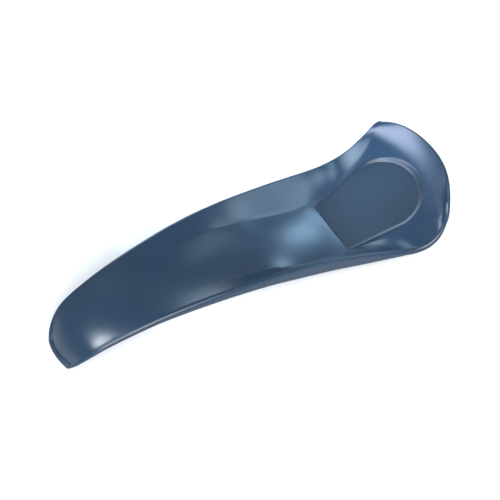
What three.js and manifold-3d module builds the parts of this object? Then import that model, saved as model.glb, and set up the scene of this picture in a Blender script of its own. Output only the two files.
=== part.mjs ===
// Telephone handset shoulder rest: a glossy arched moulding with a flared, dished cradle at one end.
// Millimetres, +Z up.  The origin is on the table under the middle of the length, +X runs toward
// the cradle, -X toward the toe, and the rest is symmetric about the XZ plane.
import * as THREE from 'three';
import { mergeVertices } from 'three/addons/utils/BufferGeometryUtils.js';
import Module from 'manifold-3d';

const wasm = await Module();
wasm.setup();
const { Manifold } = wasm;

// ---- driving dimensions ----
const MIDDLE = 93.95;
const WALL = 2.4;
const RIM_RADIUS = 1.7;
const SKIRT = [[2, 0.1], [10, 0.3], [188, 0.5]];
const GAP = 0.3;
const CREST_X = 187.6;
const TOE_X = 0.3;
const END_BOW = 9.6;
const BOW_START = 150;
const TOE_BOW = 1.1;

// Stations along the length, measured from the toe: [distance, value].
const EDGE_HALF_WIDTH = [
  [0.3, 7.9], [1.8, 10.1], [3.6, 11.7], [5.8, 13], [9, 14.3], [14, 15.4], [22, 16.6], [35, 18.3],
  [52, 20.3], [69, 22.1], [95, 23.9], [112, 24.8], [129, 26.2], [145, 28.3], [158, 31],
  [168, 32.4], [176, 32.4], [182, 31.2], [185.5, 29.8], [187.6, 28.4],
];
const EDGE_HEIGHT = [
  [0.3, 2.6], [1.8, 5.2], [3.6, 7.8], [5.8, 10.2], [9, 12.9], [14, 15.6], [22, 18.3], [35, 21.5],
  [52, 24], [69, 25.3], [86, 25.3], [103, 23.9], [120, 21.3], [137, 17.3], [148, 14.3],
  [158, 12.4], [167, 12.9], [175, 16.2], [181, 21.3], [185, 26.1], [187.6, 28.5],
];
const CREASE_HALF_WIDTH = [
  [0.3, 5], [35, 11.4], [70, 14.2], [107, 16], [130, 16.3], [143, 17.8], [158, 21.2],
  [166, 23.6], [174, 26.6], [181, 28.6], [187.6, 28],
];
const CREASE_HEIGHT = [
  [0.3, 3], [35, 20.8], [60, 21.4], [80, 19.4], [95, 16.8], [107, 14], [120, 11.2], [131, 9],
  [137, 8.6], [145, 10], [157, 13.4], [166, 16.4], [174, 19.2], [181, 22.6], [187.6, 28.2],
];
const CENTRE_HEIGHT = [
  [0.3, 2.9], [1.8, 5.8], [3.6, 8.7], [5.8, 11.6], [9, 14.6], [14, 17.4], [22, 19.9], [35, 21.7],
  [52, 22], [69, 20.9], [86, 18.5], [103, 15.5], [112, 13.7], [122, 11.5], [130, 9.65],
  [135, 8.45], [138, 8.15], [142, 9.5], [148, 11.8], [160, 15.2], [172, 18.9], [177, 20.8],
  [180, 22.8], [183, 26.1], [185.5, 29.4], [187.6, 31.7],
];
const CREST_SWELL = [[165, 0], [176, 0.3], [182, 0.8], [187.6, 1.4]];
const CREASE_FADE = [[55, 0], [85, 0.35], [112, 0.95], [125, 1], [188, 1]];

// Flat-floored recess in the dish, D shaped in plan.
const RECESS_START = 136;
const RECESS_SHOULDER = 163;
const RECESS_END = 180;
const RECESS_START_HALF = 15.6;
const RECESS_HALF = 20.0;
const RECESS_SLOPE = 0.285;
const RECESS_TOP = 8.4;
const RECESS_DEPTH = 2.3;

// Underside: a hull that slopes in under the rim to a base that stands on two rubber grips.
const BASE_HEIGHT = [
  [1.7, 1.7], [20, 1.7], [30, 4.6], [50, 11], [68, 12.8], [86, 11], [104, 6.2], [118, 2.5],
  [168, 2.5], [176, 5], [187.6, 13],
];
const BASE_HALF_WIDTH = [
  [1.7, 3.8], [8, 5.6], [17, 5.8], [35, 8.4], [61, 13], [78, 14.4], [95, 14.2], [112, 14.4],
  [129, 16.4], [145, 20], [157, 22], [166, 21.4], [176, 18], [187.6, 12],
];
const SHELL = 1.6;
const PLATE_LOW = 1.7;
const CLEARANCE = [[2, 1.0], [115, 0.6], [150, 2.2], [174, 2.8], [180.8, 4.6], [185, 2.9]];
const HEEL = { from: 122, to: 163, half: 14.5, corner: 7, base: 2.5, grip: 1.5 };
const TOE = { from: 6.2, to: 17.2, half: 4.6, corner: 2.6, base: 1.7, grip: 0.8 };
const SCREWS = [
  { name: 'screw_heel_left', d: 152, y: 11, base: 2.5, tip: 9.3 },
  { name: 'screw_heel_right', d: 152, y: -11, base: 2.5, tip: 9.3 },
  { name: 'screw_toe', d: 12.6, y: 0, base: 1.7, tip: 9.0 },
];
const SHANK = 1.4;
const HEAD = 2.6;
const HEAD_HEIGHT = 1.2;
const POST = 3.3;

// ---- smooth curves through the stations ----
function hermite(t, y0, y1, m0, m1) {
  const a = (1 + 2 * t) * (1 - t) ** 2 * y0 + t * (1 - t) ** 2 * m0;
  const b = t * t * (3 - 2 * t) * y1 + t * t * (t - 1) * m1;
  return a + b;
}

function rise(stations, k) {
  return (stations[k + 1][1] - stations[k][1]) / (stations[k + 1][0] - stations[k][0]);
}

// Slopes that stop the curve swinging past a station where the values turn or level off.
function calmSlope(stations, k) {
  const last = stations.length - 1;
  if (k === 0) return rise(stations, 0);
  if (k === last) return rise(stations, last - 1);
  const before = rise(stations, k - 1);
  const after = rise(stations, k);
  if (before * after <= 0) return 0;
  const hb = stations[k][0] - stations[k - 1][0];
  const ha = stations[k + 1][0] - stations[k][0];
  return (before * ha + after * hb) / (ha + hb);
}

// Slopes that keep the curvature continuous too, for the polished surface.
function fairSlopes(stations) {
  const n = stations.length;
  const h = stations.slice(1).map((s, k) => s[0] - stations[k][0]);
  const upper = [0.5];
  const value = [1.5 * rise(stations, 0)];
  for (let k = 1; k < n; k += 1) {
    const end = k === n - 1;
    const low = end ? 1 : h[k];
    const mid = end ? 2 : 2 * (h[k - 1] + h[k]);
    const up = end ? 0 : h[k - 1];
    const before = rise(stations, k - 1);
    const right = end ? 3 * before : 3 * (h[k] * before + h[k - 1] * rise(stations, k));
    const den = mid - low * upper[k - 1];
    upper.push(up / den);
    value.push((right - low * value[k - 1]) / den);
  }
  const slopes = value.slice();
  for (let k = n - 2; k >= 0; k -= 1) slopes[k] = value[k] - upper[k] * slopes[k + 1];
  return slopes;
}

function curve(stations, fair = true) {
  const slopes = fair ? fairSlopes(stations) : stations.map((_, k) => calmSlope(stations, k));
  const last = stations.length - 1;
  return (d) => {
    if (d <= stations[0][0]) return stations[0][1];
    if (d >= stations[last][0]) return stations[last][1];
    let k = 0;
    while (stations[k + 1][0] < d) k += 1;
    const h = stations[k + 1][0] - stations[k][0];
    const t = (d - stations[k][0]) / h;
    return hermite(t, stations[k][1], stations[k + 1][1], h * slopes[k], h * slopes[k + 1]);
  };
}

const edgeHalf = curve(EDGE_HALF_WIDTH);
const edgeHeight = curve(EDGE_HEIGHT);
const creaseHalf = curve(CREASE_HALF_WIDTH);
const creaseHeight = curve(CREASE_HEIGHT);
const centreHeight = curve(CENTRE_HEIGHT);
const creaseFade = curve(CREASE_FADE, false);
const crestSwell = curve(CREST_SWELL, false);
const baseHeight = curve(BASE_HEIGHT, false);
const baseHalf = curve(BASE_HALF_WIDTH, false);
const skirt = curve(SKIRT, false);
const clearance = curve(CLEARANCE, false);

// ---- the dished upper surface ----
// Height across the body: a plain trough near the toe that turns into a floor, a crease and a
// flange toward the cradle.
function section(d, across) {
  const t = Math.abs(across);
  const z0 = centreHeight(d);
  const ze = edgeHeight(d);
  const plain = z0 + (ze - z0) * t * t;
  const fade = creaseFade(d);
  return fade > 0 ? plain + fade * (creased(d, t, z0, ze) - plain) : plain;
}

function creased(d, t, z0, ze) {
  const tc = creaseAt(d);
  const zc = creaseHeight(d);
  const flange = (ze - zc) / (1 - tc);
  if (t >= tc) return zc + flange * (t - tc);
  const q = t / tc;
  return z0 + (zc - z0) * q * q + crestSwell(d) * 4 * q * q * (1 - q * q);
}

function creaseAt(d) {
  return Math.min(creaseHalf(d) / edgeHalf(d), 0.985);
}

function bow(d) {
  const s = Math.max(0, (d - BOW_START) / (CREST_X - BOW_START));
  const toe = Math.max(0, 1 - (d - TOE_X) / 14);
  return TOE_BOW * toe * toe - END_BOW * s * s;
}

function topPoint(d, t) {
  return [d + bow(d) * t * t, edgeHalf(d) * t, section(d, t)];
}

// Height of the surface over a plan position.
function skinAt(x, y) {
  let d = x;
  for (let k = 0; k < 8; k += 1) d = x - bow(d) * (y / edgeHalf(d)) ** 2;
  return section(d, y / edgeHalf(d));
}

// ---- grids ----
const ROWS = 44;
const COLS = 22;

// Row i's distance from the toe; the end rows move in by the toe and head insets.
function rowAt(i, toeIn, headIn) {
  const s = i / ROWS;
  const ease = s - 0.09 * Math.sin(2 * Math.PI * s);
  return TOE_X + (CREST_X - TOE_X) * ease + toeIn * (1 - s) ** 14 - headIn * s ** 14;
}

function colAt(j, d, limit) {
  const s = (2 * j) / COLS - 1;
  const tc = creaseAt(d);
  const a = Math.abs(s);
  const inner = 0.6;
  const t = a <= inner ? (a / inner) * tc : tc + ((a - inner) / (1 - inner)) * (1 - tc);
  return Math.sign(s) * t * limit;
}

function core(toeIn, headIn, sideIn, pointFn) {
  const grid = [];
  for (let i = 0; i <= ROWS; i += 1) {
    const d = rowAt(i, toeIn, headIn);
    const outer = edgeHalf(rowAt(i, 0, 0));
    const limit = sideIn > 0 ? (outer - sideIn) / edgeHalf(d) : 1;
    const row = [];
    for (let j = 0; j <= COLS; j += 1) row.push(pointFn(d, colAt(j, d, limit)));
    grid.push(row);
  }
  return grid;
}

// Perimeter of a grid, counter-clockwise seen from above.
function perimeter(grid) {
  const loop = [];
  for (let i = 0; i < ROWS; i += 1) loop.push([i, 0]);
  for (let j = 0; j < COLS; j += 1) loop.push([ROWS, j]);
  for (let i = ROWS; i > 0; i -= 1) loop.push([i, COLS]);
  for (let j = COLS; j > 0; j -= 1) loop.push([0, j]);
  return loop.map(([i, j]) => grid[i][j]);
}

function outward(loop, k) {
  const n = loop.length;
  const a = loop[(k + n - 1) % n];
  const b = loop[(k + 1) % n];
  const dx = b[0] - a[0];
  const dy = b[1] - a[1];
  const len = Math.hypot(dx, dy);
  return [dy / len, -dx / len];
}

function offsetLoop(loop, out, down) {
  return loop.map((p, k) => {
    const [nx, ny] = outward(loop, k);
    return [p[0] + nx * out, p[1] + ny * out, p[2] - down];
  });
}

// Closed body: outer grid, rings that lead from its edge to the edge of the inner grid, inner grid.
function closedBody(outer, rings, inner) {
  const verts = [];
  const tris = [];
  const put = (p) => verts.push(p) - 1;
  const a = outer.map((row) => row.map(put));
  const b = inner.map((row) => row.map(put));
  const loops = [perimeter(a), ...rings.map((ring) => ring.map(put)), perimeter(b)];
  const quad = (p, q, r, s) => tris.push([p, q, r], [p, r, s]);
  for (let i = 0; i < ROWS; i += 1) {
    for (let j = 0; j < COLS; j += 1) {
      quad(a[i][j], a[i + 1][j], a[i + 1][j + 1], a[i][j + 1]);
      quad(b[i][j], b[i][j + 1], b[i + 1][j + 1], b[i + 1][j]);
    }
  }
  for (let r = 0; r + 1 < loops.length; r += 1) {
    const n = loops[r].length;
    for (let k = 0; k < n; k += 1) {
      const m = (k + 1) % n;
      quad(loops[r][k], loops[r + 1][k], loops[r + 1][m], loops[r][m]);
    }
  }
  const g = new THREE.BufferGeometry();
  const shifted = verts.flatMap(([x, y, z]) => [x - MIDDLE, y, z]);
  g.setAttribute('position', new THREE.Float32BufferAttribute(shifted, 3));
  g.setIndex(tris.flat());
  return g;
}

// ---- solids from geometry, and back ----
function solid(geometry) {
  const bare = new THREE.BufferGeometry();
  bare.setAttribute('position', geometry.getAttribute('position').clone());
  if (geometry.index) bare.setIndex(geometry.index.clone());
  const g = mergeVertices(bare, 1e-4);
  return new Manifold(new wasm.Mesh({
    numProp: 3,
    vertProperties: new Float32Array(g.getAttribute('position').array),
    triVerts: new Uint32Array(g.index.array),
  }));
}

function geometryOf(body) {
  const m = body.getMesh();
  const g = new THREE.BufferGeometry();
  g.setAttribute('position', new THREE.Float32BufferAttribute(m.vertProperties.slice(), 3));
  g.setIndex(Array.from(m.triVerts));
  return g;
}

function peg(radius, d, y, bottom, top, sides = 20) {
  const g = new THREE.CylinderGeometry(radius, radius, top - bottom, sides);
  g.rotateX(Math.PI / 2);
  g.translate(d - MIDDLE, y, (top + bottom) / 2);
  return g;
}

// ---- upper shell ----
function innerRoof(drop, inset) {
  const roof = core(inset, inset, inset, topPoint);
  return roof.map((row) => row.map(([x, y, z]) => [x, y, z - drop]));
}

// The edge rolls over a quarter turn, then drops to the parting line.
function rollRings(edge) {
  return [22, 45, 68, 90].map((deg) => {
    const a = THREE.MathUtils.degToRad(deg);
    return offsetLoop(edge, RIM_RADIUS * Math.sin(a), RIM_RADIUS * (1 - Math.cos(a)));
  });
}

const outerGrid = core(0, 0, 0, topPoint);
const outerEdge = perimeter(outerGrid);
const roofEdge = perimeter(innerRoof(WALL, 3.9));
const partingLoop = offsetLoop(outerEdge, RIM_RADIUS, RIM_RADIUS).map(
  ([x, y, z], k) => [x, y, Math.min(z - skirt(x), roofEdge[k][2])],
);

// Inner edge of the parting face, moved in by the inset and down by the drop.
function lipLoop(inset, drop) {
  const edge = perimeter(innerRoof(0, inset));
  return partingLoop.map((p, k) => [edge[k][0], edge[k][1], p[2] - drop]);
}

function upperSkin() {
  const rings = [...rollRings(outerEdge), partingLoop, lipLoop(2.6, 0)];
  return solid(closedBody(outerGrid, rings, innerRoof(WALL, 2.6)));
}

// D outline: straight across at the waist, widening to the shoulder, half an ellipse at the head.
function recessShape(inset) {
  const s = new THREE.Shape();
  const start = RECESS_START + inset;
  const half = RECESS_HALF - inset;
  s.moveTo(start, inset + 1.5 - RECESS_START_HALF);
  s.lineTo(start + 1.5, inset - RECESS_START_HALF);
  for (let k = 0; k <= 24; k += 1) {
    const a = -Math.PI / 2 + (Math.PI * k) / 24;
    const reach = RECESS_END - RECESS_SHOULDER - inset;
    s.lineTo(RECESS_SHOULDER + reach * Math.cos(a), half * Math.sin(a));
  }
  s.lineTo(start + 1.5, RECESS_START_HALF - inset);
  s.lineTo(start, RECESS_START_HALF - inset - 1.5);
  s.closePath();
  return s;
}

// A slab of that outline lying parallel to the inclined floor of the dish.
function recessSlab(inset, bottom, top) {
  const g = new THREE.ExtrudeGeometry(recessShape(inset), { depth: 1, bevelEnabled: false });
  const p = g.getAttribute('position');
  for (let k = 0; k < p.count; k += 1) {
    const d = p.getX(k);
    const plane = RECESS_TOP + RECESS_SLOPE * (d - RECESS_START);
    p.setXYZ(k, d - MIDDLE, p.getY(k), plane + (p.getZ(k) > 0.5 ? top : bottom));
  }
  return g;
}

function upperShell() {
  let body = upperSkin();
  for (const { d, y, base } of SCREWS) {
    const under = section(d - POST, y / edgeHalf(d)) - 0.6;
    body = body.add(solid(peg(POST, d, y, base + 3.9, under, 28)));
  }
  body = body.add(solid(recessSlab(-1.5, -RECESS_DEPTH - 1.2, -1.2)));
  body = body.subtract(solid(recessSlab(0, -RECESS_DEPTH, 12)));
  for (const { d, y, base, tip } of SCREWS) {
    body = body.subtract(solid(peg(SHANK + GAP, d, y, base, tip + GAP)));
  }
  return geometryOf(body);
}

const upper = upperShell();

// ---- lower shell ----
function basePoint(grow, lift) {
  return (d, t) => {
    const half = baseHalf(d) - grow;
    return [d + bow(d) * t * t * 0.6, half * t, baseHeight(d) + lift];
  };
}

// Edge of the closing plate, inside the rim of the upper shell.
function plateEdge(inset, lift) {
  const edge = perimeter(innerRoof(0, inset));
  return edge.map(([x, y], k) => [x, y, Math.max(partingLoop[k][2] - 0.9, PLATE_LOW) + lift]);
}

function lowerShell() {
  const ceiling = core(3.4, 3.4, 3.4, (d, t) => {
    const [x, y, z] = topPoint(d, t);
    return [x, y, z - WALL - clearance(d)];
  });
  const base = core(4.2, 9, 0, basePoint(0, 0));
  let body = solid(closedBody(ceiling, [plateEdge(3.0, 0.8), plateEdge(3.0, 0)], base));
  const floor = core(5.6, 10.5, 0, basePoint(1.2, SHELL));
  const lid = innerRoof(-34, 5);
  const cavity = closedBody(lid, [plateEdge(4.8, 30), plateEdge(4.8, 1.2)], floor);
  body = body.subtract(solid(cavity));
  for (const { d, y, base: b } of SCREWS) {
    body = body.add(solid(peg(POST + 1.3, d, y, b + 1, b + 3.6, 28)));
    body = body.subtract(solid(peg(SHANK + GAP, d, y, b - 1, b + 5)));
    body = body.subtract(solid(peg(HEAD + GAP, d, y, b - 1, b + 1.7)));
  }
  return geometryOf(body);
}

// ---- grips, adhesive films and screws ----
function roundedSlab({ from, to, half, corner }, inset, bottom, top) {
  const a = from + inset - MIDDLE;
  const b = to - inset - MIDDLE;
  const h = half - inset;
  const r = corner - inset;
  const s = new THREE.Shape();
  s.moveTo(a + r, -h);
  s.lineTo(b - r, -h);
  s.absarc(b - r, r - h, r, -Math.PI / 2, 0, false);
  s.absarc(b - r, h - r, r, 0, Math.PI / 2, false);
  s.absarc(a + r, h - r, r, Math.PI / 2, Math.PI, false);
  s.absarc(a + r, r - h, r, Math.PI, Math.PI * 1.5, false);
  const g = new THREE.ExtrudeGeometry(s, { depth: top - bottom, bevelEnabled: false, curveSegments: 8 });
  g.translate(0, 0, bottom);
  return g;
}

function screw({ d, y, base, tip }) {
  const bottom = base + 0.2;
  const profile = [
    [0, bottom], [HEAD - 0.3, bottom], [HEAD, bottom + 0.3], [HEAD, bottom + HEAD_HEIGHT],
    [SHANK, bottom + HEAD_HEIGHT], [SHANK, tip - 1], [0.4, tip], [0, tip],
  ];
  const g = new THREE.LatheGeometry(profile.map(([r, z]) => new THREE.Vector2(r, z)), 20);
  g.rotateX(Math.PI / 2);
  g.translate(d - MIDDLE, y, 0);
  return g;
}

// The inlay: flat underneath, its flat middle sunk a little below a rounded border.
function dishedPad() {
  const steps = [[0.35, -1.4], [0.35, -0.3], [0.7, -0.15], [1.2, -0.3], [2.0, -0.75], [3.0, -0.9]];
  const loops = steps.map(([inset, lift]) => padLoop(inset, lift));
  const n = loops[0].length;
  const verts = loops.flat();
  const tris = [];
  for (let r = 0; r + 1 < loops.length; r += 1) {
    for (let k = 0; k < n; k += 1) {
      const m = (k + 1) % n;
      tris.push(r * n + k, r * n + m, (r + 1) * n + m, r * n + k, (r + 1) * n + m, (r + 1) * n + k);
    }
  }
  cap(loops[0]).forEach(([a, b, c]) => tris.push(a, c, b));
  const top = (loops.length - 1) * n;
  cap(loops[loops.length - 1]).forEach(([a, b, c]) => tris.push(top + a, top + b, top + c));
  const g = new THREE.BufferGeometry();
  g.setAttribute('position', new THREE.Float32BufferAttribute(verts.flat(), 3));
  g.setIndex(tris);
  return g;
}

// The border dips with the dish where the dish falls away beside the inlay.
function padLoop(inset, lift) {
  return recessShape(inset).getPoints(1).slice(0, -1).map(({ x, y }) => {
    const z = RECESS_TOP + RECESS_SLOPE * (x - RECESS_START) + lift;
    const border = lift > -0.8;
    return [x - MIDDLE, y, border ? Math.min(z, skinAt(x, y) - 0.1) : z];
  });
}

function cap(loop) {
  return THREE.ShapeUtils.triangulateShape(loop.map(([x, y]) => new THREE.Vector2(x, y)), []);
}

// ---- assembly ----
const rest = new THREE.Group();
rest.name = 'shoulder_rest';

function place(name, geometry, colour, roughness) {
  const material = new THREE.MeshStandardMaterial({ color: colour, roughness, metalness: 0.1 });
  material.name = `${name}_finish`;
  const mesh = new THREE.Mesh(geometry, material);
  mesh.name = name;
  rest.add(mesh);
}

place('upper_shell', upper, 0x35485e, 0.18);
place('lower_shell', lowerShell(), 0x2e3f52, 0.3);
place('cradle_pad', dishedPad(), 0x344860, 0.3);
place('cradle_pad_adhesive', recessSlab(0.9, -2.0, -1.7), 0xd8d4c8, 0.6);
place('heel_grip', roundedSlab(HEEL, 0, 0, HEEL.grip), 0x1d1f22, 0.85);
place('heel_grip_adhesive', roundedSlab(HEEL, 0.8, HEEL.grip + GAP, HEEL.base - GAP), 0xd8d4c8, 0.6);
place('toe_grip', roundedSlab(TOE, 0, 0, TOE.grip), 0x1d1f22, 0.85);
place('toe_grip_adhesive', roundedSlab(TOE, 0.5, TOE.grip + GAP, TOE.base - GAP), 0xd8d4c8, 0.6);
for (const one of SCREWS) place(one.name, screw(one), 0x9aa0a6, 0.35);

export default rest;
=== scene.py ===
"""Looks for the telephone handset shoulder rest, in metres, in the frame of the CAD part."""
import math

import bmesh
import bpy
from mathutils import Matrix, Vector


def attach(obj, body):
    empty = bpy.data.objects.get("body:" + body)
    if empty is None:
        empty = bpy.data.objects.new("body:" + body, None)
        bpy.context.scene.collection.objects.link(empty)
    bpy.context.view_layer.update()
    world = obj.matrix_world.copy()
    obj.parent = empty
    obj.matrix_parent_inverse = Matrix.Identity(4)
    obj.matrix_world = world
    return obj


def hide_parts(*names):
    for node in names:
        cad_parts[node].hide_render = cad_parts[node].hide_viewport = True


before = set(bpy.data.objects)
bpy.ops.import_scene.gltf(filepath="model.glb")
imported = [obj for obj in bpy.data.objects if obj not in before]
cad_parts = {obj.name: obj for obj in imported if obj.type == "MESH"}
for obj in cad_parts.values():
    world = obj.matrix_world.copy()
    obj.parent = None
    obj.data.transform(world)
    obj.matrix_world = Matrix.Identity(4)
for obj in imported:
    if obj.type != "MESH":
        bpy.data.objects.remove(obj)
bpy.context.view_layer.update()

# ---- driving dimensions, millimetres, distances measured from the toe ----
MIDDLE = 93.95
CREST_X = 187.6
TOE_X = 0.3
RIM = 1.7
RIM_STEP = 9
WALL = 2.4
GAP = 0.3
BOW_START = 150
END_BOW = 9.6
TOE_BOW = 1.1
TOE_BOW_REACH = 14
CREASE_LIMIT = 0.985

# the D recess and its inlay
RECESS = {"start": 136, "shoulder": 163, "end": 180, "start_half": 15.6, "half": 20.0,
          "slope": 0.285, "top": 8.4, "depth": 2.3, "corner": 1.5}
RECESS_FLOOR = 1.2
RECESS_FLOOR_GROW = 1.5
RECESS_CLEAR = 12
ARC_STEPS = 72
INLAY_GAP = 0.05
INLAY_FLOOR = -0.9
INLAY_UNDER = -1.6
INLAY_RINGS = 12
INLAY_RING_STEP = 0.16
BORDER_START = 140
BORDER_GROWS_OVER = 20
BORDER_WIDTH = 0.7
BORDER_GROWTH = 1.2

# the inner wall of the upper moulding
ROOF_INSET = 2.6
PARTING_INSET = 3.9
SKIRT = [(2, 0.1), (10, 0.3), (188, 0.5)]

# the lower moulding: insets at the toe, at the head and at the sides
CEILING_INSETS = (3.4, 3.4, 3.4)
BASE_INSETS = (4.2, 9, 0)
CAVITY_INSETS = (5.6, 10.5, 0)
PLATE_INSET = 3.0
PLATE_LAND = 0.8
PLATE_DROP = 0.9
PLATE_LOW = 1.7
SHELL = 1.6
SHELL_SIDE = 1.2
CAVITY_EDGE = 4.8
CAVITY_ROOF_INSET = 5
CAVITY_EDGE_RISE = 30
CAVITY_ROOF_RISE = 34
BASE_BOW = 0.6
CLEARANCE = [(2, 1.0), (115, 0.6), (150, 2.2), (174, 2.8), (180.8, 4.6), (185, 2.9)]

# screws: distance from the toe, side, height of the base there, height of the tip
SCREWS = [(152, 11, 2.5, 9.3), (152, -11, 2.5, 9.3), (12.6, 0, 1.7, 9.0)]
POST_RADIUS = 3.3
POST_FOOT = 3.9
POST_COVER = 0.6
BORE_RADIUS = 1.7
SEAT_RADIUS = 4.6
SEAT_TOP = 3.6
HEAD_RADIUS = 2.9
HEAD_TOP = 1.7

# stations along the body
EDGE_HALF_WIDTH = [
    (0.3, 7.9), (1.8, 10.1), (3.6, 11.7), (5.8, 13), (9, 14.3), (14, 15.4), (22, 16.6), (35, 18.3),
    (52, 20.3), (69, 22.1), (95, 23.9), (112, 24.8), (129, 26.2), (145, 28.3), (158, 31),
    (168, 32.4), (176, 32.4), (182, 31.2), (185.5, 29.8), (187.6, 28.4),
]
EDGE_HEIGHT = [
    (0.3, 2.6), (1.8, 5.2), (3.6, 7.8), (5.8, 10.2), (9, 12.9), (14, 15.6), (22, 18.3), (35, 21.5),
    (52, 24), (69, 25.3), (86, 25.3), (103, 23.9), (120, 21.3), (137, 17.3), (148, 14.3),
    (158, 12.4), (167, 12.9), (175, 16.2), (181, 21.3), (185, 26.1), (187.6, 28.5),
]
CREASE_HALF_WIDTH = [
    (0.3, 5), (35, 11.4), (70, 14.2), (107, 16), (130, 16.3), (143, 17.8), (158, 21.2),
    (166, 23.6), (174, 26.6), (181, 28.6), (187.6, 28),
]
CREASE_HEIGHT = [
    (0.3, 3), (35, 20.8), (60, 21.4), (80, 19.4), (95, 16.8), (107, 14), (120, 11.2), (131, 9),
    (137, 8.6), (145, 10), (157, 13.4), (166, 16.4), (174, 19.2), (181, 22.6), (187.6, 28.2),
]
CENTRE_HEIGHT = [
    (0.3, 2.9), (1.8, 5.8), (3.6, 8.7), (5.8, 11.6), (9, 14.6), (14, 17.4), (22, 19.9), (35, 21.7),
    (52, 22), (69, 20.9), (86, 18.5), (103, 15.5), (112, 13.7), (122, 11.5), (130, 9.65),
    (135, 8.45), (138, 8.15), (142, 9.5), (148, 11.8), (160, 15.2), (172, 18.9), (177, 20.8),
    (180, 22.8), (183, 26.1), (185.5, 29.4), (187.6, 31.7),
]
CREST_SWELL = [(165, 0), (176, 0.3), (182, 0.8), (187.6, 1.4)]
CREASE_FADE = [(55, 0), (85, 0.35), (112, 0.95), (125, 1), (188, 1)]
BASE_HEIGHT = [
    (1.7, 1.7), (20, 1.7), (30, 4.6), (50, 11), (68, 12.8), (86, 11), (104, 6.2), (118, 2.5),
    (168, 2.5), (176, 5), (187.6, 13),
]
BASE_HALF_WIDTH = [
    (1.7, 3.8), (8, 5.6), (17, 5.8), (35, 8.4), (61, 13), (78, 14.4), (95, 14.2), (112, 14.4),
    (129, 16.4), (145, 20), (157, 22), (166, 21.4), (176, 18), (187.6, 12),
]

# grid of the loft
ROWS = 150
COLS = 64
ROW_EASE = 0.09
INSET_FADE = 14
CREASE_SHARE = 0.6
MERGE_DISTANCE = 1e-6


# ---- curves through the stations ----
def hermite(t, y0, y1, m0, m1):
    a = (1 + 2 * t) * (1 - t) ** 2 * y0 + t * (1 - t) ** 2 * m0
    return a + t * t * (3 - 2 * t) * y1 + t * t * (t - 1) * m1


def rise(table, k):
    return (table[k + 1][1] - table[k][1]) / (table[k + 1][0] - table[k][0])


def calm_slope(table, k):
    """A slope that stops the curve swinging past a station where the values turn."""
    last = len(table) - 1
    if k in (0, last):
        return rise(table, min(k, last - 1))
    before, after = rise(table, k - 1), rise(table, k)
    if before * after <= 0:
        return 0
    hb = table[k][0] - table[k - 1][0]
    ha = table[k + 1][0] - table[k][0]
    return (before * ha + after * hb) / (ha + hb)


def fair_slopes(table):
    """Slopes that keep the curvature continuous."""
    n = len(table)
    h = [table[k + 1][0] - table[k][0] for k in range(n - 1)]
    upper, value = [0.5], [1.5 * rise(table, 0)]
    for k in range(1, n):
        end = k == n - 1
        low, mid, up = (1, 2, 0) if end else (h[k], 2 * (h[k - 1] + h[k]), h[k - 1])
        before = rise(table, k - 1)
        right = 3 * before if end else 3 * (h[k] * before + h[k - 1] * rise(table, k))
        den = mid - low * upper[k - 1]
        upper.append(up / den)
        value.append((right - low * value[k - 1]) / den)
    slopes = value[:]
    for k in range(n - 2, -1, -1):
        slopes[k] = value[k] - upper[k] * slopes[k + 1]
    return slopes


def curve(table, fair=True):
    """A smooth function through a table of stations, level beyond its ends."""
    slopes = fair_slopes(table) if fair else [calm_slope(table, k) for k in range(len(table))]
    last = len(table) - 1

    def at(d):
        if d <= table[0][0]:
            return table[0][1]
        if d >= table[last][0]:
            return table[last][1]
        k = 0
        while table[k + 1][0] < d:
            k += 1
        (start, low), (end, high) = table[k], table[k + 1]
        h = end - start
        return hermite((d - start) / h, low, high, h * slopes[k], h * slopes[k + 1])
    return at


edge_half = curve(EDGE_HALF_WIDTH)
edge_height = curve(EDGE_HEIGHT)
crease_half = curve(CREASE_HALF_WIDTH)
crease_height = curve(CREASE_HEIGHT)
centre_height = curve(CENTRE_HEIGHT)
crease_fade = curve(CREASE_FADE, False)
crest_swell = curve(CREST_SWELL, False)
base_height = curve(BASE_HEIGHT, False)
base_half = curve(BASE_HALF_WIDTH, False)
skirt = curve(SKIRT, False)
clearance = curve(CLEARANCE, False)


# ---- the loft ----
def crease_at(d):
    return min(crease_half(d) / edge_half(d), CREASE_LIMIT)


def section(d, across):
    """Height across the body: plain trough near the toe, creased dish toward the cradle."""
    t = abs(across)
    z0, ze, fade = centre_height(d), edge_height(d), crease_fade(d)
    plain = z0 + (ze - z0) * t * t
    return plain + fade * (creased(d, t, z0, ze) - plain) if fade > 0 else plain


def creased(d, t, z0, ze):
    """The dish inside the crease, and the straight flange outside it."""
    tc, zc = crease_at(d), crease_height(d)
    if t >= tc:
        return zc + (ze - zc) / (1 - tc) * (t - tc)
    q = t / tc
    return z0 + (zc - z0) * q * q + crest_swell(d) * 4 * q * q * (1 - q * q)


def bow(d):
    """How far the sides run ahead of the middle: the crest and the toe are curved in plan."""
    s = max(0, (d - BOW_START) / (CREST_X - BOW_START))
    toe = max(0, 1 - (d - TOE_X) / TOE_BOW_REACH)
    return TOE_BOW * toe * toe - END_BOW * s * s


def top_point(d, t, drop=0):
    return (d + bow(d) * t * t, edge_half(d) * t, section(d, t) - drop)


def skin_at(x, y):
    """Height of the surface over a plan position."""
    d = x
    for _ in range(10):
        d = x - bow(d) * (y / edge_half(d)) ** 2
    return section(d, y / edge_half(d))


def row_at(i, toe_in, head_in):
    """Distance of a row from the toe; rows are closer at both ends, and the insets fade inward."""
    s = i / ROWS
    ease = s - ROW_EASE * math.sin(2 * math.pi * s)
    toe, head = toe_in * (1 - s) ** INSET_FADE, head_in * s ** INSET_FADE
    return TOE_X + (CREST_X - TOE_X) * ease + toe - head


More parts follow.
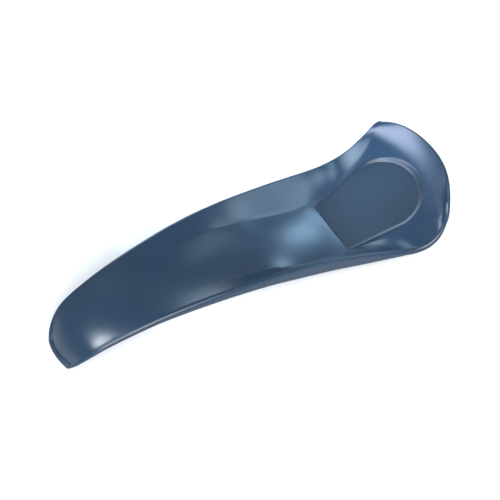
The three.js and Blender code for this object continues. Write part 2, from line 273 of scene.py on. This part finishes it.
def col_at(j, d, limit):
    """Place of a column across the body, with a share of the columns set between the creases and
    the rest outside them.
    """
    s = 2 * j / COLS - 1
    a, tc = abs(s), crease_at(d)
    if a <= CREASE_SHARE:
        t = a / CREASE_SHARE * tc
    else:
        t = tc + (a - CREASE_SHARE) / (1 - CREASE_SHARE) * (1 - tc)
    return math.copysign(t, s) * limit


def core(toe_in, head_in, side_in, point):
    """A grid of points over the plan outline, inset by the amounts given."""
    grid = []
    for i in range(ROWS + 1):
        d = row_at(i, toe_in, head_in)
        outer = edge_half(row_at(i, 0, 0))
        limit = (outer - side_in) / edge_half(d) if side_in > 0 else 1
        grid.append([point(d, col_at(j, d, limit)) for j in range(COLS + 1)])
    return grid


def perimeter(grid):
    loop = [grid[i][0] for i in range(ROWS)]
    loop += [grid[ROWS][j] for j in range(COLS)]
    loop += [grid[i][COLS] for i in range(ROWS, 0, -1)]
    return loop + [grid[0][j] for j in range(COLS, 0, -1)]


def offset_loop(loop, out, down):
    """The loop moved outward in plan and lowered."""
    moved = []
    for k, p in enumerate(loop):
        a, b = loop[k - 1], loop[(k + 1) % len(loop)]
        dx, dy = b[0] - a[0], b[1] - a[1]
        n = math.hypot(dx, dy)
        moved.append((p[0] + dy / n * out, p[1] - dx / n * out, p[2] - down))
    return moved


# ---- mesh building ----
def metres(d, y, z):
    return ((d - MIDDLE) / 1000, y / 1000, z / 1000)


def closed_body(name, outer, rings, inner):
    """One closed mesh: an outer grid, rings around its edge, and an inner grid."""
    verts, faces = [], []

    def put(p):
        verts.append(metres(*p))
        return len(verts) - 1

    a = [[put(p) for p in row] for row in outer]
    b = [[put(p) for p in row] for row in inner]
    loops = [perimeter(a)] + [[put(p) for p in ring] for ring in rings] + [perimeter(b)]
    for i in range(ROWS):
        for j in range(COLS):
            faces.append((a[i][j], a[i + 1][j], a[i + 1][j + 1], a[i][j + 1]))
            faces.append((b[i][j], b[i][j + 1], b[i + 1][j + 1], b[i + 1][j]))
    for first, second in zip(loops, loops[1:]):
        n = len(first)
        for k in range(n):
            m = (k + 1) % n
            faces.append((first[k], second[k], second[m], first[m]))
    return new_object(name, verts, faces)


def new_object(name, verts, faces):
    mesh = bpy.data.meshes.new(name)
    mesh.from_pydata(verts, [], faces)
    mesh.validate()
    mesh.update()
    obj = bpy.data.objects.new(name, mesh)
    bpy.context.scene.collection.objects.link(obj)
    return obj


def prism(name, outline, low, high):
    """A closed prism over a plan outline in mm; low and high give z for a point."""
    n = len(outline)
    verts = [metres(d, y, low(d, y)) for d, y in outline]
    verts += [metres(d, y, high(d, y)) for d, y in outline]
    faces = [tuple(reversed(range(n))), tuple(range(n, 2 * n))]
    faces += [(k, (k + 1) % n, (k + 1) % n + n, k + n) for k in range(n)]
    return new_object(name, verts, faces)


def circle(d, y, r, n):
    angles = [2 * math.pi * k / n for k in range(n)]
    return [(d + r * math.cos(a), y + r * math.sin(a)) for a in angles]


def cut(target, tool, how="DIFFERENCE"):
    """Cut the tool from the target, or join it on, and delete the tool."""
    mod = target.modifiers.new("cut", "BOOLEAN")
    mod.operation, mod.object, mod.solver = how, tool, "EXACT"
    deps = bpy.context.evaluated_depsgraph_get()
    fresh = bpy.data.meshes.new_from_object(target.evaluated_get(deps))
    target.modifiers.clear()
    old = target.data
    target.data = fresh
    fresh.name = target.name
    bpy.data.meshes.remove(old)
    bpy.data.objects.remove(tool)


def finish_mesh(obj, angle):
    """Merge, face outward, and shade smooth except over edges sharper than the angle."""
    bm = bmesh.new()
    bm.from_mesh(obj.data)
    bmesh.ops.remove_doubles(bm, verts=bm.verts, dist=MERGE_DISTANCE)
    bmesh.ops.recalc_face_normals(bm, faces=bm.faces)
    for f in bm.faces:
        f.smooth = True
    for e in bm.edges:
        e.smooth = len(e.link_faces) == 2 and e.calc_face_angle() < math.radians(angle)
    bm.to_mesh(obj.data)
    bm.free()


# ---- the shells ----
def roof(drop, inset):
    return core(inset, inset, inset, lambda d, t: top_point(d, t, drop))


OUTER = core(0, 0, 0, top_point)
EDGE = perimeter(OUTER)
ROOF_EDGE = perimeter(roof(WALL, PARTING_INSET))
PARTING = [(x, y, min(z - skirt(x), ROOF_EDGE[k][2]))
           for k, (x, y, z) in enumerate(offset_loop(EDGE, RIM, RIM))]


def lip_loop(inset):
    """The parting edge's height, carried in to an inset outline."""
    edge = perimeter(roof(0, inset))
    return [(x, y, p[2]) for (x, y, _), p in zip(edge, PARTING)]


def recess_outline(inset):
    """The D in plan: a straight end with cut corners, and a half ellipse toward the crest."""
    start, half = RECESS["start"] + inset, RECESS["half"] - inset
    reach, side = RECESS["end"] - RECESS["shoulder"] - inset, RECESS["start_half"] - inset
    corner = RECESS["corner"]
    pts = [(start, corner - side), (start + corner, -side)]
    for k in range(ARC_STEPS + 1):
        a = -math.pi / 2 + math.pi * k / ARC_STEPS
        pts.append((RECESS["shoulder"] + reach * math.cos(a), half * math.sin(a)))
    return pts + [(start + corner, side), (start, side - corner)]


def dish_plane(lift):
    """The sloping plane of the recess, raised or lowered."""
    return lambda d, y: RECESS["top"] + RECESS["slope"] * (d - RECESS["start"]) + lift


def flat(z):
    return lambda d, y: z


def rolled_edge():
    rings = []
    for deg in range(RIM_STEP, 91, RIM_STEP):
        a = math.radians(deg)
        rings.append(offset_loop(EDGE, RIM * math.sin(a), RIM * (1 - math.cos(a))))
    return rings


def upper_shell():
    rings = rolled_edge() + [PARTING, lip_loop(ROOF_INSET)]
    body = closed_body("upper_moulding", OUTER, rings, roof(WALL, ROOF_INSET))
    for d, y, base, _ in SCREWS:
        under = section(d - POST_RADIUS, y / edge_half(d)) - POST_COVER
        post = prism("post", circle(d, y, POST_RADIUS, 48), flat(base + POST_FOOT), flat(under))
        cut(body, post, "UNION")
    low = dish_plane(-RECESS["depth"] - RECESS_FLOOR)
    thick = prism("thick", recess_outline(-RECESS_FLOOR_GROW), low, dish_plane(-RECESS_FLOOR))
    cut(body, thick, "UNION")
    low = dish_plane(-RECESS["depth"])
    cut(body, prism("recess", recess_outline(0), low, dish_plane(RECESS_CLEAR)))
    for d, y, base, tip in SCREWS:
        cut(body, prism("bore", circle(d, y, BORE_RADIUS, 32), flat(base), flat(tip + GAP)))
    finish_mesh(body, 28)
    return body


def base_point(narrower, lift):
    def point(d, t):
        half = base_half(d) - narrower
        return (d + bow(d) * t * t * BASE_BOW, half * t, base_height(d) + lift)
    return point


def plate_edge(inset, lift):
    """The lower moulding's rim, a little below the parting edge."""
    edge = perimeter(roof(0, inset))
    return [(x, y, max(p[2] - PLATE_DROP, PLATE_LOW) + lift)
            for (x, y, _), p in zip(edge, PARTING)]


def cavity():
    rings = [plate_edge(CAVITY_EDGE, CAVITY_EDGE_RISE), plate_edge(CAVITY_EDGE, SHELL_SIDE)]
    floor = core(*CAVITY_INSETS, base_point(SHELL_SIDE, SHELL))
    return closed_body("cavity", roof(-CAVITY_ROOF_RISE, CAVITY_ROOF_INSET), rings, floor)


def lower_shell():
    ceiling = core(*CEILING_INSETS, lambda d, t: top_point(d, t, WALL + clearance(d)))
    rings = [plate_edge(PLATE_INSET, PLATE_LAND), plate_edge(PLATE_INSET, 0)]
    body = closed_body("lower_moulding", ceiling, rings, core(*BASE_INSETS, base_point(0, 0)))
    cut(body, cavity())
    for d, y, base, _ in SCREWS:
        seat = prism("seat", circle(d, y, SEAT_RADIUS, 48), flat(base + 1), flat(base + SEAT_TOP))
        cut(body, seat, "UNION")
        cut(body, prism("hole", circle(d, y, BORE_RADIUS, 32), flat(base - 1), flat(base + 5)))
        head = prism("head", circle(d, y, HEAD_RADIUS, 40), flat(base - 1), flat(base + HEAD_TOP))
        cut(body, head)
    finish_mesh(body, 30)
    return body


def dished_pad():
    """Flat underneath; the top dips from a border that follows the dish to a flat, sunk middle."""
    insets = [INLAY_GAP, INLAY_GAP]
    insets += [INLAY_GAP + INLAY_RING_STEP * k for k in range(1, INLAY_RINGS + 1)]
    loops = [recess_outline(inset) for inset in insets]
    n = len(loops[0])
    verts, faces = [], []
    for r, (inset, loop) in enumerate(zip(insets, loops)):
        for d, y in loop:
            z = pad_height(d, y, inset) if r else dish_plane(INLAY_UNDER)(d, y)
            verts.append(metres(d, y, z))
    for r in range(len(loops) - 1):
        for k in range(n):
            m = (k + 1) % n
            faces.append((r * n + k, r * n + m, (r + 1) * n + m, (r + 1) * n + k))
    top = (len(loops) - 1) * n
    faces += [tuple(reversed(range(n))), tuple(range(top, top + n))]
    body = new_object("cradle_inlay", verts, faces)
    finish_mesh(body, 30)
    return body


def pad_height(d, y, inset):
    wider = min(max((d - BORDER_START) / BORDER_GROWS_OVER, 0), 1)
    border = BORDER_WIDTH + BORDER_GROWTH * wider
    mix = 0.5 - 0.5 * math.cos(math.pi * min((inset - INLAY_GAP) / border, 1))
    top = skin_at(d, y) - INLAY_GAP
    return top + (dish_plane(INLAY_FLOOR)(d, y) - top) * mix


# ---- procedural finishes ----
RAMP_ENDS = (0.35, 0.65)
CLOUD_SCALE = 28
GRAIN_SCALE = 1500
GRAIN_DEPTH = 0.00003
STEEL_SCALE = 900
PLASTIC_IOR = 1.43


def node_material(name):
    mat = bpy.data.materials.new(name)
    mat.use_nodes = True
    tree = mat.node_tree
    shader = next(n for n in tree.nodes if n.type == "BSDF_PRINCIPLED")
    return mat, tree, shader


def noise(tree, scale, detail):
    coord = tree.nodes.new("ShaderNodeTexCoord")
    tex = tree.nodes.new("ShaderNodeTexNoise")
    tex.inputs["Scale"].default_value = scale
    tex.inputs["Detail"].default_value = detail
    tree.links.new(coord.outputs["Object"], tex.inputs["Vector"])
    return tex


def tint(tree, shader, source, low, high):
    """Base colour from low to high as the source varies."""
    node = tree.nodes.new("ShaderNodeValToRGB")
    first, last = node.color_ramp.elements
    first.position, last.position = RAMP_ENDS
    first.color, last.color = (*low, 1), (*high, 1)
    tree.links.new(source, node.inputs["Fac"])
    tree.links.new(node.outputs["Color"], shader.inputs["Base Color"])


def roughen(tree, shader, source, low, high):
    """Roughness from low to high as the source varies."""
    node = tree.nodes.new("ShaderNodeMapRange")
    node.inputs["To Min"].default_value = low
    node.inputs["To Max"].default_value = high
    tree.links.new(source, node.inputs["Value"])
    tree.links.new(node.outputs["Result"], shader.inputs["Roughness"])


def bump(tree, shader, source, strength, distance):
    node = tree.nodes.new("ShaderNodeBump")
    node.inputs["Strength"].default_value = strength
    node.inputs["Distance"].default_value = distance
    tree.links.new(source, node.inputs["Height"])
    tree.links.new(node.outputs["Normal"], shader.inputs["Normal"])


def plastic(name, low, high, rough, grain=0.02):
    mat, tree, shader = node_material(name)
    cloud = noise(tree, CLOUD_SCALE, 4).outputs["Fac"]
    fine = noise(tree, GRAIN_SCALE, 2).outputs["Fac"]
    tint(tree, shader, cloud, low, high)
    roughen(tree, shader, cloud, *rough)
    shader.inputs["IOR"].default_value = PLASTIC_IOR
    bump(tree, shader, fine, grain, GRAIN_DEPTH)
    return mat


def steel(name):
    mat, tree, shader = node_material(name)
    cloud = noise(tree, STEEL_SCALE, 2).outputs["Fac"]
    tint(tree, shader, cloud, (0.42, 0.43, 0.44), (0.56, 0.57, 0.58))
    roughen(tree, shader, cloud, 0.25, 0.42)
    shader.inputs["Metallic"].default_value = 1.0
    return mat


def give(obj, mat):
    obj.data.materials.clear()
    obj.data.materials.append(mat)


# name, darker colour, lighter colour, roughness from and to, strength of the grain
GLOSS = plastic("pearl_gloss", (0.009, 0.024, 0.047), (0.012, 0.029, 0.056), (0.24, 0.28))
INLAY = plastic("inlay_gloss", (0.007, 0.016, 0.030), (0.011, 0.023, 0.041), (0.30, 0.38))
SATIN = plastic("satin_underside", (0.008, 0.020, 0.040), (0.011, 0.026, 0.050), (0.36, 0.46), 0.08)
RUBBER = plastic("grip_rubber", (0.016, 0.016, 0.018), (0.026, 0.026, 0.028), (0.72, 0.86), 0.6)
FILM = plastic("adhesive_film", (0.66, 0.64, 0.56), (0.74, 0.72, 0.64), (0.5, 0.6), 0.2)
FLOOR = plastic("pale_floor", (0.90, 0.90, 0.91), (0.92, 0.92, 0.93), (0.75, 0.85), 0.05)
STEEL = steel("screw_steel")


# ---- pieces ----
def place(obj, node, mat):
    give(obj, mat)
    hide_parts(node)
    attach(obj, "root")


place(upper_shell(), "upper_shell", GLOSS)
place(lower_shell(), "lower_shell", SATIN)
place(dished_pad(), "cradle_pad", INLAY)

# the part's own solids stay, with a better finish
KEPT = {
    "cradle_pad_adhesive": FILM, "heel_grip_adhesive": FILM, "toe_grip_adhesive": FILM,
    "heel_grip": RUBBER, "toe_grip": RUBBER,
    "screw_heel_left": STEEL, "screw_heel_right": STEEL, "screw_toe": STEEL,
}
for node, mat in KEPT.items():
    give(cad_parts[node], mat)


# ---- studio ----
AZIMUTH = math.radians(-29.9)
ELEVATION = math.radians(48)
TARGET = Vector((-0.0053, -0.0115, 0.0308))
DISTANCE = 1.6
VIEW_WIDTH = 0.2155
SENSOR = 36
FLOOR_HALF = 3
SKY_COLOUR = (0.88, 0.94, 1.0, 1)
SKY_STRENGTH = 0.45

# name, aim point, direction to the light, distance, width and height, watts, colour,
# then the angle of the beam and the roll where they aren't 180 and 0 degrees
LIGHTS = [
    ("toe_strip", (-0.082, -0.016, 0.012), (-0.50, 0.25, 0.83), 0.22, (0.009, 0.13), 0.024,
     (0.88, 0.95, 1), 40, 25),
    ("saddle", (0.029, 0.002, 0.012), (0.64, 0.58, 0.50), 0.12, (0.020, 0.020), 0.0009,
     (0.44, 0.72, 1), 34),
    ("lip", (0.088, 0.010, 0.033), (-0.97, 0.19, 0.08), 0.13, (0.10, 0.09), 0.042,
     (0.68, 0.76, 1), 50),
    ("lip_side", (0.088, 0, 0.03), (-0.84, 0.5, 0.13), 0.13, (0.08, 0.07), 0.006,
     (0.58, 0.76, 1), 50),
    ("right_side", (0.026, 0.018, 0.015), (0.65, -0.57, 0.5), 0.25, (0.13, 0.10), 0.013,
     (0.60, 0.82, 1), 34),
    ("shoulder", (0.048, 0.024, 0.013), (0.62, -0.18, 0.77), 0.12, (0.09, 0.08), 0.009,
     (0.60, 0.84, 1), 42),
    ("ear", (0.070, 0.029, 0.015), (-0.06, 0.93, 0.36), 0.2, (0.20, 0.17), 0.09,
     (0.64, 0.84, 1), 60),
    ("flange", (0.056, 0.027, 0.013), (0.36, 0.30, 0.88), 0.1, (0.11, 0.09), 0.011,
     (0.60, 0.84, 1), 42),
    ("arc", (0.078, 0.016, 0.019), (-0.82, -0.28, 0.5), 0.1, (0.05, 0.05), 0.009,
     (0.75, 0.88, 1), 26),
    ("front", (0, 0, 0), (-0.3, -0.74, 0.6), 3.0, (2.2, 2.2), 160, (1, 1, 1)),
]


def area_light(name, target, direction, distance, size, watts, colour, beam=180, roll=0):
    """A soft rectangular light that faces its aim point."""
    data = bpy.data.lights.new(name, "AREA")
    data.shape = "RECTANGLE"
    data.size, data.size_y = size
    data.spread = math.radians(beam)
    data.energy = watts
    data.color = colour
    obj = bpy.data.objects.new(name, data)
    bpy.context.scene.collection.objects.link(obj)
    d = Vector(direction).normalized()
    obj.location = Vector(target) + d * distance
    obj.rotation_euler = (-d).to_track_quat("-Z", "Y").to_euler()
    obj.rotation_euler.rotate_axis("Z", math.radians(roll))
    obj.visible_camera = False


h = FLOOR_HALF
floor = new_object("floor", [(-h, -h, 0), (h, -h, 0), (h, h, 0), (-h, h, 0)], [(0, 1, 2, 3)])
give(floor, FLOOR)

world = bpy.data.worlds.new("studio")
bpy.context.scene.world = world
world.use_nodes = True
sky = next(n for n in world.node_tree.nodes if n.type == "BACKGROUND")
sky.inputs["Color"].default_value = SKY_COLOUR
sky.inputs["Strength"].default_value = SKY_STRENGTH

for light in LIGHTS:
    area_light(*light)

camera_data = bpy.data.cameras.new("camera")
camera_data.sensor_width = SENSOR
camera_data.lens = SENSOR * DISTANCE / VIEW_WIDTH
camera = bpy.data.objects.new("camera", camera_data)
bpy.context.scene.collection.objects.link(camera)
look = Vector((math.sin(AZIMUTH) * math.cos(ELEVATION),
               -math.cos(AZIMUTH) * math.cos(ELEVATION),
               math.sin(ELEVATION)))
camera.location = TARGET + look * DISTANCE
camera.rotation_euler = (-look).to_track_quat("-Z", "Y").to_euler()
bpy.context.scene.camera = camera
bpy.context.scene.view_settings.view_transform = "Standard"
